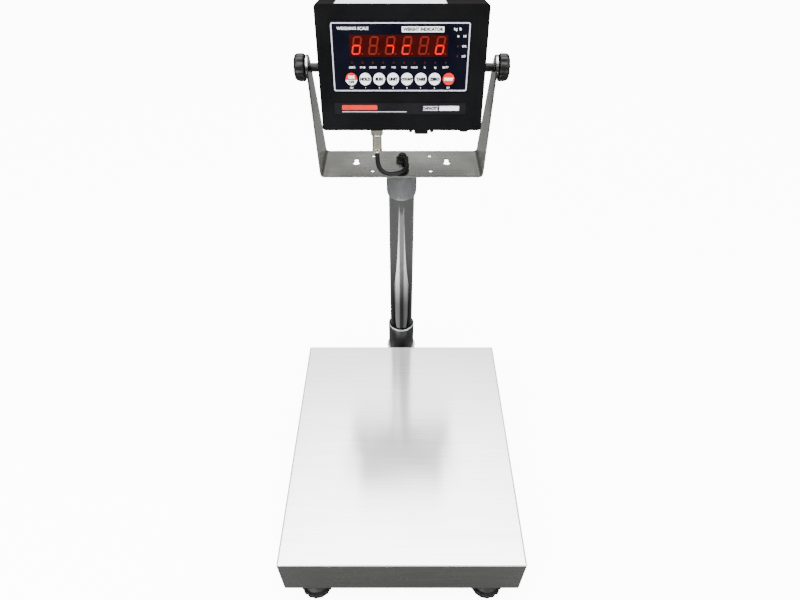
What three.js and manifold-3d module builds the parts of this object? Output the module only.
// Bench scale: a weighing platform with a column at its back that carries a tilting indicator.
// Millimetres, +Z up, the front faces -Y. Origin: middle of the footprint, on the floor.
// Depths (y) are counted from the front edge of the pan, and the whole group is moved back at the end.
import * as THREE from 'three';
import { mergeVertices } from 'three/addons/utils/BufferGeometryUtils.js';
import Module from 'manifold-3d';

const wasm = await Module();
wasm.setup();

// Driving dimensions
const gap = 0.3;                 // clearance between pieces that rest on each other
const panWidth = 305;
const panDepth = 356;
const panTop = 91;
const skirtHeight = 70;
const sheet = 1.2;               // pan sheet thickness
const panMiddle = panDepth / 2;
const columnY = 388;
const columnRadius = 17.7;
const columnBore = columnRadius + 0.4;   // inside every ring that the tube stands in
const plateTop = 415.9;          // upper face of the yoke bracket's plate
const yokeSheet = 2;
const yokeWidth = 207;           // outside the bracket at its plate
const yokeDepth = 66;
const pivotZ = 540.2;
const pivotSpan = 219;           // outside the bracket at the pivot
const tiltBack = 8.5;            // degrees, the indicator's lean at rest
const headRise = 4.3;            // middle of the indicator above its tilt axis
const headWidth = 184.8;
const headHeight = 132.2;
const headDepth = 75;
const wall = 2.5;                // indicator housing wall
const footLift = 24;             // how far the feet are screwed out: everything else is raised by it
const footX = 115;
const footInset = 22;            // foot axis behind the front edge, and before the back edge
const railHeight = 20;
const railBottom = 18.3;
const railTop = railBottom + railHeight;
const railWidth = 30;
const frontToCentre = 217.4;     // front edge of the pan to the middle of the footprint

// Finishes
const finish = (color, roughness, metalness) => new THREE.MeshStandardMaterial({ color, roughness, metalness });
const stainless = finish(0xc8c9c8, 0.35, 1);
const chrome = finish(0xd0d2d2, 0.08, 1);
const zinc = finish(0xa9acad, 0.4, 1);
const alloy = finish(0xb9bcc0, 0.45, 1);
const frameGrey = finish(0x6f7376, 0.6, 0.3);
const blackPaint = finish(0x101114, 0.55, 0.2);
const blackPlastic = finish(0x0d0d0e, 0.5, 0);
const greyPlastic = finish(0x75787a, 0.55, 0);
const rubber = finish(0x141414, 0.85, 0);
const overlayFilm = finish(0x0e1220, 0.4, 0);
const redLens = finish(0x3a0608, 0.15, 0);
const board = finish(0x1d4a2c, 0.5, 0);
const brightNickel = finish(0xcfc8b4, 0.22, 1);
const redKey = finish(0xc23022, 0.5, 0);
const whiteKey = finish(0xe8e6ea, 0.5, 0);

// Solids
const toSolid = (geometry) => {
  const bare = geometry.index ? geometry.toNonIndexed() : geometry.clone();
  for (const name of Object.keys(bare.attributes)) {
    if (name !== 'position') bare.deleteAttribute(name);
  }
  const merged = mergeVertices(bare, 1e-4);
  return new wasm.Manifold(new wasm.Mesh({
    numProp: 3,
    vertProperties: new Float32Array(merged.attributes.position.array),
    triVerts: new Uint32Array(merged.index.array),
  }));
};

const toGeometry = (solid) => {
  const mesh = solid.getMesh();
  const geometry = new THREE.BufferGeometry();
  geometry.setAttribute('position', new THREE.BufferAttribute(mesh.vertProperties, 3));
  geometry.setIndex(new THREE.BufferAttribute(mesh.triVerts, 1));
  geometry.computeVertexNormals();
  return geometry;
};

// join and cut take geometries and give a geometry
const join = (first, ...others) => toGeometry(others.reduce((sum, g) => sum.add(toSolid(g)), toSolid(first)));
const cut = (first, ...others) => toGeometry(others.reduce((sum, g) => sum.subtract(toSolid(g)), toSolid(first)));
const common = (first, second) => toGeometry(toSolid(first).intersect(toSolid(second)));

// A box between two corners
const block = ([x0, y0, z0], [x1, y1, z1]) =>
  new THREE.BoxGeometry(x1 - x0, y1 - y0, z1 - z0).translate((x0 + x1) / 2, (y0 + y1) / 2, (z0 + z1) / 2);

// Round bars: upright (z), lying across (x) and lying front to back (y)
const barZ = (radius, z0, z1, sides = 24, x = 0, y = 0) =>
  new THREE.CylinderGeometry(radius, radius, z1 - z0, sides).rotateX(Math.PI / 2).translate(x, y, (z0 + z1) / 2);
const barX = (radius, x0, x1, sides = 24, y = 0, z = 0) =>
  new THREE.CylinderGeometry(radius, radius, x1 - x0, sides).rotateZ(-Math.PI / 2).translate((x0 + x1) / 2, y, z);
const barY = (radius, y0, y1, sides = 24, x = 0, z = 0) =>
  new THREE.CylinderGeometry(radius, radius, y1 - y0, sides).translate(x, (y0 + y1) / 2, z);

// A turned piece about the z axis from [radius, z] pairs, listed from the bottom up
const turned = (profile, sides = 32) =>
  new THREE.LatheGeometry(profile.map(([r, z]) => new THREE.Vector2(r, z)), sides).rotateX(Math.PI / 2);

// A turned ring: the profile closes on itself round a hole
const turnedRing = (profile, sides = 32) => turned([...profile, profile[0]], sides);

const roundedRect = (width, height, radius) => {
  const [w, h] = [width / 2, height / 2];
  const shape = new THREE.Shape();
  shape.moveTo(w - radius, -h);
  shape.absarc(w - radius, radius - h, radius, -Math.PI / 2, 0, false);
  shape.absarc(w - radius, h - radius, radius, 0, Math.PI / 2, false);
  shape.absarc(radius - w, h - radius, radius, Math.PI / 2, Math.PI, false);
  shape.absarc(radius - w, radius - h, radius, Math.PI, Math.PI * 1.5, false);
  return shape;
};

const plainExtrude = (shape, depth, curveSegments = 4) =>
  new THREE.ExtrudeGeometry(shape, { depth, bevelEnabled: false, curveSegments });

// An upright slab with rounded corners, from z0 to z1
const slabZ = (width, depth, radius, z0, z1, x = 0, y = 0) =>
  plainExtrude(roundedRect(width, depth, radius), z1 - z0).translate(x, y, z0);

// A slab facing front to back, from y0 to y1
const slabY = (width, height, radius, y0, y1, x = 0, z = 0) =>
  plainExtrude(roundedRect(width, height, radius), y1 - y0).rotateX(Math.PI / 2).translate(x, y1, z);

// A hexagon head or nut, upright, width across flats
const hexZ = (flats, z0, z1) => barZ(flats / Math.sqrt(3), z0, z1, 6);

const smoothRoute = (points) => new THREE.CatmullRomCurve3(points.map((p) => new THREE.Vector3(...p)), false, 'centripetal');

// A round cord along a route
const cordAlong = (points, diameter, steps) => {
  const section = new THREE.Shape();
  const sides = 8;
  for (let i = 0; i < sides; i += 1) {
    const angle = (i / sides) * Math.PI * 2;
    const corner = [Math.cos(angle) * diameter / 2, Math.sin(angle) * diameter / 2];
    if (i === 0) section.moveTo(...corner);
    else section.lineTo(...corner);
  }
  return new THREE.ExtrudeGeometry(section, { steps, extrudePath: smoothRoute(points), bevelEnabled: false });
};

// The assembly
const scale = new THREE.Group();
const addTo = (group) => (name, geometry, material) => {
  const mesh = new THREE.Mesh(geometry, material);
  mesh.name = name;
  group.add(mesh);
  return mesh;
};
const raised = new THREE.Group();
raised.position.z = footLift;
scale.add(raised);
const add = addTo(raised);
const addFoot = addTo(scale);
const sides = [['left', -1], ['right', 1]];
const ends = [['front', footInset], ['rear', panDepth - footInset]];

// Lower frame: two rails over the feet and two cross members, all square tube
const tubeWall = 2;
const railEnd = 10;
const crossInner = footX - railWidth / 2 - gap;
const crossPlaces = [['front', 80], ['rear', 276]];
const footBore = 5.6;

function buildLowerFrame() {
  const inside = [railBottom + tubeWall, railTop - tubeWall];
  for (const [side, sign] of sides) {
    const [x0, x1] = [sign * footX - railWidth / 2, sign * footX + railWidth / 2];
    add(`base_rail_${side}`, cut(
      block([x0, railEnd, railBottom], [x1, panDepth - railEnd, railTop]),
      block([x0 + tubeWall, railEnd - 1, inside[0]], [x1 - tubeWall, panDepth - railEnd + 1, inside[1]]),
      ...ends.map(([, y]) => barZ(footBore, railBottom - 1, railTop + 1, 16, sign * footX, y)),
    ), frameGrey);
  }
  for (const [end, y] of crossPlaces) {
    add(`base_cross_${end}`, cut(
      block([-crossInner, y - railWidth / 2, railBottom], [crossInner, y + railWidth / 2, railTop]),
      block([-crossInner - 1, y - railWidth / 2 + tubeWall, inside[0]], [crossInner + 1, y + railWidth / 2 - tubeWall, inside[1]]),
    ), frameGrey);
  }
}

// Levelling feet: a rubber-bottomed serrated disc on a threaded stud
const footRadius = 21.8;
function buildFeet() {
  const notches = 16;
  const rim = new THREE.Shape();
  for (let i = 0; i < notches * 2; i += 1) {
    const angle = (i / (notches * 2)) * Math.PI * 2;
    const reach = footRadius - (i % 2) * 1.4;
    const corner = [Math.cos(angle) * reach, Math.sin(angle) * reach];
    if (i === 0) rim.moveTo(...corner);
    else rim.lineTo(...corner);
  }
  const disc = plainExtrude(rim, 7.5).translate(0, 0, 5);
  const pad = turned([[0, 0], [18.4, 0], [19.8, 1.2], [19.8, 5.2], [0, 5.2]], 20);
  const dome = turned([[0, 12.3], [17, 12.3], [9, 15.6], [8.2, 17.9], [0, 17.9]], 16);
  const stud = barZ(4.9, 17.5, footLift + 35.2, 12);
  const foot = join(pad, disc, dome, stud);
  for (const [end, y] of ends) {
    for (const [side, sign] of sides) {
      addFoot(`foot_${end}_${side}`, foot.clone().translate(sign * footX, y, 0), rubber);
    }
  }
}

// Single-point load cell on its mounting plate, with the upper spacer on its free end
const mountPlateTop = railTop + gap + 6;
const cellLength = 150;
const cellWidth = 38;
const cellBottom = mountPlateTop + 3.3;
const cellHeight = 27;
const cellTop = cellBottom + cellHeight;
const cellFront = panMiddle - cellLength / 2;
const cellBack = panMiddle + cellLength / 2;
const cellBossLength = 36;
const overloadGap = 1;
const cellBoltPlaces = { lower: cellFront + 18, upper: cellBack - 18 };

function buildLoadCell() {
  add('cell_mount_plate', cut(
    join(
      slabZ(76, 232, 4, railTop + gap, mountPlateTop, 0, panMiddle),
      block([-cellWidth / 2, cellFront, mountPlateTop - 0.5], [cellWidth / 2, cellFront + cellBossLength, cellBottom - gap]),
    ),
    barZ(4.4, railTop, cellBottom, 16, 0, cellBoltPlaces.lower),
  ), zinc);

  const beam = block([-cellWidth / 2, cellFront, cellBottom], [cellWidth / 2, cellBack, cellTop]);
  const middleZ = (cellBottom + cellTop) / 2;
  const waists = [-26, 26].map((dy) => barX(9.5, -cellWidth, cellWidth, 24, panMiddle + dy, middleZ));
  const slot = block([-cellWidth, panMiddle - 26, middleZ - 5], [cellWidth, panMiddle + 26, middleZ + 5]);
  const lowerBore = barZ(4.4, cellBottom - 1, cellBottom + 14, 16, 0, cellBoltPlaces.lower);
  const upperBore = barZ(4.4, cellTop - 14, cellTop + 1, 16, 0, cellBoltPlaces.upper);
  add('load_cell', cut(beam, ...waists, slot, lowerBore, upperBore), alloy);

  const boltHead = hexZ(13, 0, 5.3);
  add('cell_bolt_lower', join(
    boltHead.clone().translate(0, cellBoltPlaces.lower, railTop - 5.3),
    barZ(4, railTop - 0.5, cellBottom + 12, 16, 0, cellBoltPlaces.lower),
  ), zinc);
}

// Upper frame: it rides on the load cell's free end and carries the pan on rubber pads
const spacerBottom = cellTop + overloadGap;
const spacerTop = spacerBottom + 3;
const supportBottom = spacerTop + gap;
const supportTop = supportBottom + 3.4;
const padTop = panTop - sheet - gap;
const supportWidth = 256;
const supportDepth = 316;

function buildUpperFrame() {
  const boltY = cellBoltPlaces.upper;
  add('cell_spacer', cut(
    block([-cellWidth / 2, cellBack - cellBossLength, spacerBottom], [cellWidth / 2, cellBack, spacerTop]),
    barZ(4.4, spacerBottom - 1, spacerTop + 1, 16, 0, boltY),
  ), zinc);
  add('support_plate', cut(
    slabZ(supportWidth, supportDepth, 8, supportBottom, supportTop, 0, panMiddle),
    barZ(4.4, supportBottom - 1, supportTop + 1, 16, 0, boltY),
  ), frameGrey);
  add('cell_bolt_upper', join(
    hexZ(13, 0, 4.2).translate(0, boltY, supportTop + gap),
    barZ(4, spacerBottom + 0.1, supportTop + gap + 0.5, 16, 0, boltY),
  ), zinc);
  const stiffenerHeight = 20;
  for (const [side, sign] of sides) {
    const [x0, x1] = [sign * footX - 10, sign * footX + 10];
    const [z0, z1] = [supportBottom - gap - stiffenerHeight, supportBottom - gap];
    add(`support_rail_${side}`, cut(
      block([x0, panMiddle - supportDepth / 2 + 12, z0], [x1, panMiddle + supportDepth / 2 - 12, z1]),
      block([x0 + 2, 0, z0 + 2], [x1 - 2, panDepth, z1 - 2]),
    ), frameGrey);
    add(`pan_pad_${side}`, slabZ(18, 250, 6, supportTop + gap, padTop, sign * (footX - 6), panMiddle), rubber);
    // overload stops stand on the lower rails, just under the upper frame
    for (const [end, y] of ends) {
      const head = hexZ(13, 0, 8).translate(sign * footX, y + (end === 'front' ? 36 : -36), railTop + gap);
      const pin = barZ(4, railTop + gap + 7.5, z0 - overloadGap, 16, sign * footX, y + (end === 'front' ? 36 : -36));
      add(`overload_stop_${end}_${side}`, join(head, pin), zinc);
    }
  }
}

// Pan: folded sheet tray, upside down over the frame
function buildPan() {
  const fold = 2.4;
  const corner = 3.2;
  const outer = new THREE.ExtrudeGeometry(roundedRect(panWidth - fold * 2, panDepth - fold * 2, corner), {
    depth: skirtHeight, bevelEnabled: true, bevelSize: fold, bevelThickness: fold, bevelSegments: 2, curveSegments: 2,
  }).translate(0, panMiddle, panTop - skirtHeight - fold);
  const [innerWidth, innerDepth] = [panWidth - sheet * 2, panDepth - sheet * 2];
  const inner = new THREE.ExtrudeGeometry(roundedRect(innerWidth - fold, innerDepth - fold, corner), {
    depth: skirtHeight, bevelEnabled: true, bevelSize: fold / 2, bevelThickness: fold / 2, bevelSegments: 1, curveSegments: 2,
  }).translate(0, panMiddle, panTop - sheet - fold / 2 - skirtHeight);
  const below = block([-panWidth, -20, -10], [panWidth, panDepth + 20, panTop - skirtHeight]);
  add('weighing_pan', cut(outer, inner, below), stainless);
}

// Column: bracket plate under the pan's back skirt, socket, silver flange, black collar, tube and cap
const bracketTop = 18;
const bracketThick = 5.7;
const socketTop = 62.2;
const flangeTop = 65;
const collarTop = 118.4;
const capBottom = 369.3;
const capTop = plateTop - yokeSheet - gap;
const glandOffset = [1, 6];
const glandY = columnY + glandOffset[1];
const outletZ = plateTop + 5.3;
const outletTurn = THREE.MathUtils.degToRad(20.6);    // the gland's side outlet points forward and a little right

function buildColumn() {
  const cableHoles = [barZ(10, 0, 40, 24, 0, columnY), barZ(9, 0, 40, 24, 30, 329)];
  add('bracket_plate', cut(
    slabZ(120, 150, 6, bracketTop - bracketThick, bracketTop, 0, columnY + 26 - 75),
    ...cableHoles,
  ), zinc);
  add('column_socket', turnedRing([
    [columnBore, bracketTop + gap], [26, bracketTop + gap], [26, bracketTop + 4.5], [21.4, bracketTop + 8],
    [21.4, socketTop], [columnBore, socketTop],
  ], 24).translate(0, columnY, 0), frameGrey);
  add('column_flange', turnedRing([
    [columnBore, socketTop + gap], [23.6, socketTop + gap], [24, socketTop + 1], [23.6, flangeTop],
    [columnBore, flangeTop],
  ], 28).translate(0, columnY, 0), zinc);
  add('column_collar', turnedRing([
    [columnBore, flangeTop + gap], [21, flangeTop + gap], [21, collarTop - 1.6], [19.4, collarTop],
    [columnBore, collarTop],
  ], 28).translate(0, columnY, 0), blackPlastic);
  add('column_tube', turnedRing([
    [columnRadius - 1.6, 24], [columnRadius, 24], [columnRadius, 409], [columnRadius - 1.6, 409],
  ], 28).translate(0, columnY, 0), chrome);
  add('column_cap', turnedRing([
    [columnBore, capBottom], [18.8, capBottom], [20.4, capBottom + 4.5], [20.4, capTop],
    [13, capTop], [13, 409.6], [columnBore, 409.6],
  ], 28).translate(0, columnY, 0), greyPlastic);
  add('spirit_level', turned([
    [0, bracketTop + gap], [10, bracketTop + gap], [10, bracketTop + 8], [8, bracketTop + 9.2], [0, bracketTop + 9.6],
  ], 24).translate(44, columnY + 8, 0), alloy);
}

// Yoke bracket: a U of sheet whose arms taper up to the pivot, with keyholes in its plate
function buildYoke() {
  const [plateHalf, pivotHalf] = [yokeWidth / 2, pivotSpan / 2];
  const armHalf = 14;
  const armTop = pivotZ + armHalf;
  const plateBottom = plateTop - yokeSheet;
  const lean = (pivotHalf - plateHalf) / (pivotZ - plateTop);
  const topHalf = plateHalf + lean * (armTop + 2 - plateTop);
  const bend = 4;
  const u = new THREE.Shape();
  u.moveTo(topHalf, armTop + 2);
  u.lineTo(topHalf - yokeSheet, armTop + 2);
  u.lineTo(plateHalf - yokeSheet + lean * bend, plateTop + bend);
  u.quadraticCurveTo(plateHalf - yokeSheet, plateTop, plateHalf - yokeSheet - bend, plateTop);
  u.lineTo(-(plateHalf - yokeSheet - bend), plateTop);
  u.quadraticCurveTo(-(plateHalf - yokeSheet), plateTop, -(plateHalf - yokeSheet + lean * bend), plateTop + bend);
  u.lineTo(-(topHalf - yokeSheet), armTop + 2);
  u.lineTo(-topHalf, armTop + 2);
  u.lineTo(-(plateHalf + lean * bend), plateTop + bend);
  u.quadraticCurveTo(-plateHalf, plateBottom, -(plateHalf - bend - 1), plateBottom);
  u.lineTo(plateHalf - bend - 1, plateBottom);
  u.quadraticCurveTo(plateHalf, plateBottom, plateHalf + lean * bend, plateTop + bend);
  const folded = plainExtrude(u, yokeDepth, 5).rotateX(Math.PI / 2).translate(0, yokeDepth / 2, 0);

  const side = new THREE.Shape();
  side.moveTo(-yokeDepth / 2, plateBottom - 1);
  side.lineTo(yokeDepth / 2, plateBottom - 1);
  side.lineTo(yokeDepth / 2, plateTop + 12);
  side.lineTo(armHalf + 1, pivotZ - 6);
  side.absarc(0, pivotZ, armHalf, 0, Math.PI, false);
  side.lineTo(-armHalf - 1, pivotZ - 6);
  side.lineTo(-yokeDepth / 2, plateTop + 12);
  const outline = plainExtrude(side, 240, 8).rotateY(Math.PI / 2).rotateX(Math.PI / 2).translate(-120, 0, 0);

  const keyholes = sides.flatMap(([, sign]) => [
    barZ(4.6, plateBottom - 5, plateTop + 5, 16, sign * 59.5, 1),
    block([sign * 59.5 - 2.4, 1, plateBottom - 5], [sign * 59.5 + 2.4, 12, plateTop + 5]),
  ]);
  const screwHoles = sides.flatMap(([, sign]) => [-19.5, 19.5].map((y) => barZ(2.8, plateBottom - 5, plateTop + 5, 12, sign * 37.5, y)));
  const pivotHoles = barX(4.5, -130, 130, 24, 0, pivotZ);
  const glandHole = barZ(6.6, plateBottom - 5, plateTop + 5, 24, ...glandOffset);
  add('yoke_bracket', cut(common(folded, outline), ...keyholes, ...screwHoles, pivotHoles, glandHole)
    .translate(0, columnY, 0), stainless);

  const outlet = barY(3.9, -9.4, 0, 12).translate(0, 0, outletZ);
  add('cable_gland', join(
    turned([[0, 406], [5.9, 406], [5.9, plateTop + 4], [5.4, plateTop + 8.4], [3.6, plateTop + 10.4],
      [0, plateTop + 10.4]], 20),
    hexZ(16, plateTop + gap, plateTop + 4.4),
    outlet.rotateZ(outletTurn),
  ).translate(glandOffset[0], glandY, 0), blackPlastic);
}

// Load cell cable: from the cell, under the back skirt, and up inside the column to the gland
function buildInnerCable() {
  add('load_cell_cable', cordAlong([
    [19.4, cellFront + 22, 58], [28, cellFront + 23, 58], [37, cellFront + 34, 55], [43, 150, 48.8], [44, 200, 47.6],
    [44, 250, 47.6], [43, 285, 46.8], [37, 305, 42], [32, 317, 32], [30, 325, 21], [29, 331, 11], [24, 343, 8.4],
    [14, 360, 8.4], [6, 373, 8.6], [1.5, 383, 11.5], [0, columnY, 22], [0, columnY, 45], [0, columnY, 120],
    [0, columnY, 220], [0, columnY, 320], [0.4, columnY + 1.5, 370], [1, glandY, 392], [1, glandY, 405.5],
  ], 5, 54), rubber);
}

// Signal cable: out of the gland, forward over the plate, and up into the plug under the indicator
const cableRoute = [              // x and y from the column's middle, z above the plate
  [4.48, -3.27, 5.3], [5.6, -6.6, 4.7], [6.4, -9.4, 4.1], [6.8, -12.5, 3.5], [6.5, -17, 3.2], [4.4, -22.6, 3.2],
  [0.2, -27.8, 3.2], [-5.6, -31.6, 3.2], [-12.2, -33.8, 3.3], [-18.8, -34.6, 4.6], [-24.4, -34.4, 8], [-28, -33.6, 13],
  [-29.7, -32.2, 18.8], [-30.2, -30.9, 24.4], [-30.2, -30.1, 27.3], [-30.2, -29.3, 29.65],
];
function buildSignalCable() {
  add('signal_cable', cordAlong(cableRoute.map(([x, y, z]) => [x, y + columnY, z + plateTop]), 5.6, 28), rubber);
}

// Indicator head, in its own frame: origin in the middle of the housing, the face looks along -Y.
// The frame leans back about the tilt axis, which passes below its origin.
const tilted = new THREE.Group();
tilted.position.set(0, columnY, pivotZ);
tilted.rotation.x = -THREE.MathUtils.degToRad(tiltBack);
raised.add(tilted);
const head = new THREE.Group();
head.position.z = headRise;
tilted.add(head);
const addHead = addTo(head);

const halfDepth = headDepth / 2;
const faceBack = -halfDepth + 0.4;        // metal face behind the printed film
const bottomZ = -headHeight / 2;
const filmBack = faceBack - 0.1;
const keySpacing = 15.43;
const keyCount = 8;
const keyZ = -8.5;
const keyX = (index) => -2.1 + (index - (keyCount - 1) / 2) * keySpacing;
const windowX = -3.5;
const windowZ = 25.75;
const windowWidth = 107;
const windowHeight = 22.3;
const filmX = -1.65;
const filmZ = 13.6;
const filmWidth = 151.7;
const filmHeight = 73.4;
const plugX = -30.2;
const plugY = -15;
const serialX = 23.2;
const serialY = -24;
const powerX = 73.7;
const powerY = -24;

function buildHousing() {
  const coverFront = halfDepth - 3;
  const shell = slabY(headWidth, headHeight, 3.2, faceBack, coverFront - gap);
  const hollow = slabY(headWidth - wall * 2, headHeight - wall * 2, 1.6, faceBack + wall, halfDepth);
  const windowHole = slabY(windowWidth - 3, windowHeight - 3, 1, -halfDepth - 1, 0, windowX, windowZ);
  const keyHoles = Array.from({ length: keyCount }, (_, i) => barY(6.9, -halfDepth - 1, 0, 14, keyX(i), keyZ));
  const pivotHoles = barX(6, -120, 120, 20, 0, -headRise);
  const bottomHoles = [
    barZ(6.3, bottomZ - 2, bottomZ + 5, 20, plugX, plugY),
    block([serialX - 9.3, serialY - 5, bottomZ - 2], [serialX + 9.3, serialY + 5, bottomZ + 5]),
    barZ(4.3, bottomZ - 2, bottomZ + 5, 20, powerX, powerY),
  ];
  addHead('front_housing', cut(shell, hollow, windowHole, pivotHoles, ...keyHoles, ...bottomHoles), blackPaint);
  const lip = cut(
    slabY(headWidth - wall * 2 - 0.8, headHeight - wall * 2 - 0.8, 1.2, coverFront - 5, coverFront + 0.5),
    slabY(headWidth - wall * 2 - 4, headHeight - wall * 2 - 4, 1, coverFront - 9, coverFront),
  );
  addHead('rear_cover', join(slabY(headWidth, headHeight, 3.2, coverFront, halfDepth), lip), blackPaint);
  for (const [side, sign] of sides) {
    const inner = sign * (headWidth / 2 - 14);
    const outer = sign * 106.9;
    const flange = sign * (headWidth / 2 - wall - gap);
    const collar = sign * (headWidth / 2 + gap);
    addHead(`pivot_boss_${side}`, cut(
      join(
        barX(5, Math.min(inner, outer), Math.max(inner, outer), 16),
        barX(8, Math.min(inner, flange), Math.max(inner, flange), 16),
        barX(6.6, Math.min(collar, collar + sign * 2), Math.max(collar, collar + sign * 2), 16),
      ),
      barX(4.25, Math.min(inner + sign * 2, outer + sign * 2), Math.max(inner + sign * 2, outer + sign * 2), 14),
    ).translate(0, 0, -headRise), blackPlastic);
  }
}

function buildFace() {
  const holes = Array.from({ length: keyCount }, (_, i) => barY(6.9, -halfDepth - 5, 0, 14, keyX(i), keyZ));
  addHead('face_overlay', cut(
    slabY(filmWidth, filmHeight, 2, -halfDepth, filmBack, filmX, filmZ),
    slabY(windowWidth, windowHeight, 1.6, -halfDepth - 1, filmBack + 1, windowX, windowZ),
    ...holes,
  ), overlayFilm);
  addHead('label_strip', slabY(150, 12.4, 1.5, -halfDepth, filmBack, -2, -41), overlayFilm);
  addHead('display_window', join(
    slabY(windowWidth - 0.6, windowHeight - 0.6, 1.4, -halfDepth - 0.2, filmBack, windowX, windowZ),
    slabY(windowWidth - 3.6, windowHeight - 3.6, 0.8, filmBack - 0.05, faceBack + wall, windowX, windowZ),
  ), redLens);
  for (let i = 0; i < keyCount; i += 1) {
    const edge = i === 0 || i === keyCount - 1;
    addHead(`key_${i + 1}`, turned([
      [0, -1.7], [5.6, -1.7], [5.6, 0], [6.5, 0], [6.5, 3.6], [6, 4.4], [0, 4.4],
    ], 18).rotateX(Math.PI / 2).translate(keyX(i), -halfDepth + 3.2, keyZ), edge ? redKey : whiteKey);
  }
}

function buildElectronics() {
  addHead('display_board', join(
    slabY(150, 80, 2, -28, -26.4, 0, 12),
    block([windowX - 51, -33.4, windowZ - 9.4], [windowX + 51, -27.5, windowZ + 9.4]),
  ), board);
  addHead('main_board', join(
    slabY(150, 96, 2, -8, -6.4, 0, 4),
    block([-50, -6.8, 10], [-20, 12, 40]),
    block([8, -6.8, 6], [40, 6, 30]),
  ), board);
  addHead('battery', slabY(70, 46, 3, 14, 32, 30, -34), greyPlastic);
}

function buildPorts() {
  const below = bottomZ - gap;
  addHead('connector_socket', turned([
    [0, bottomZ - 6.6], [5.5, bottomZ - 6.6], [5.5, bottomZ - 2.6], [8.3, bottomZ - 2.6], [8.3, below],
    [6, below], [6, bottomZ + 6], [0, bottomZ + 6],
  ], 28).translate(plugX, plugY, 0), brightNickel);
  addHead('connector_nut', turnedRing([
    [6.2, bottomZ - 12.2], [7, bottomZ - 12.2], [7.6, bottomZ - 11.2], [7.6, bottomZ - 4.2], [7, bottomZ - 3],
    [6.2, bottomZ - 3],
  ], 28).translate(plugX, plugY, 0), brightNickel);
  addHead('connector_plug', turned([
    [0, bottomZ - 34.4], [4, bottomZ - 34.4], [6.2, bottomZ - 32.2], [6.2, bottomZ - 29.2], [5.9, bottomZ - 29],
    [5.9, bottomZ - 7], [0, bottomZ - 7],
  ], 28).translate(plugX, plugY, 0), brightNickel);
  addHead('serial_port', join(
    block([serialX - 15.4, serialY - 6.2, bottomZ - 1.5], [serialX + 15.4, serialY + 6.2, below]),
    slabZ(16.6, 8.4, 3, bottomZ - 7.5, bottomZ - 1, serialX, serialY),
    block([serialX - 9, serialY - 4.7, bottomZ - 1], [serialX + 9, serialY + 4.7, bottomZ + 8]),
    ...sides.map(([, sign]) => barZ(2.4, bottomZ - 6, bottomZ - 1, 6, serialX + sign * 12.5, serialY)),
  ), blackPlastic);
  addHead('power_inlet', join(
    barZ(5.4, bottomZ - 4.6, below, 20, powerX, powerY),
    barZ(4, bottomZ - 1, bottomZ + 9, 20, powerX, powerY),
  ), blackPlastic);
}

// Knobs: a fluted head on a neck, with the threaded stud that clamps the yoke arm to the boss
function buildKnobs() {
  const lobes = 8;
  const steps = 32;
  const knobRadius = 15.5;
  const rim = new THREE.Shape();
  for (let i = 0; i < steps; i += 1) {
    const angle = (i / steps) * Math.PI * 2;
    const reach = knobRadius - 0.9 + 0.9 * Math.cos(angle * lobes);
    const corner = [Math.cos(angle) * reach, Math.sin(angle) * reach];
    if (i === 0) rim.moveTo(...corner);
    else rim.lineTo(...corner);
  }
  const grip = new THREE.ExtrudeGeometry(rim, {
    depth: 9.6, bevelEnabled: true, bevelSize: 1.2, bevelOffset: -1.2, bevelThickness: 1.6, bevelSegments: 1,
  });
  const knob = join(
    grip.rotateY(Math.PI / 2).translate(113.2, 0, 0),
    turned([[0, 110.3], [8.4, 110.3], [8.4, 111.2], [7.6, 112.4], [0, 112.4]], 18).rotateY(Math.PI / 2),
    barX(3.9, 95, 111, 14),
  );
  addHead('knob_right', knob.clone().translate(0, 0, -headRise), blackPlastic);
  addHead('knob_left', knob.clone().rotateZ(Math.PI).translate(0, 0, -headRise), blackPlastic);
}

buildLowerFrame();
buildFeet();
buildLoadCell();
buildUpperFrame();
buildPan();
buildColumn();
buildYoke();
buildInnerCable();
buildSignalCable();
buildHousing();
buildFace();
buildElectronics();
buildPorts();
buildKnobs();

scale.position.y = -frontToCentre;

export default scale;
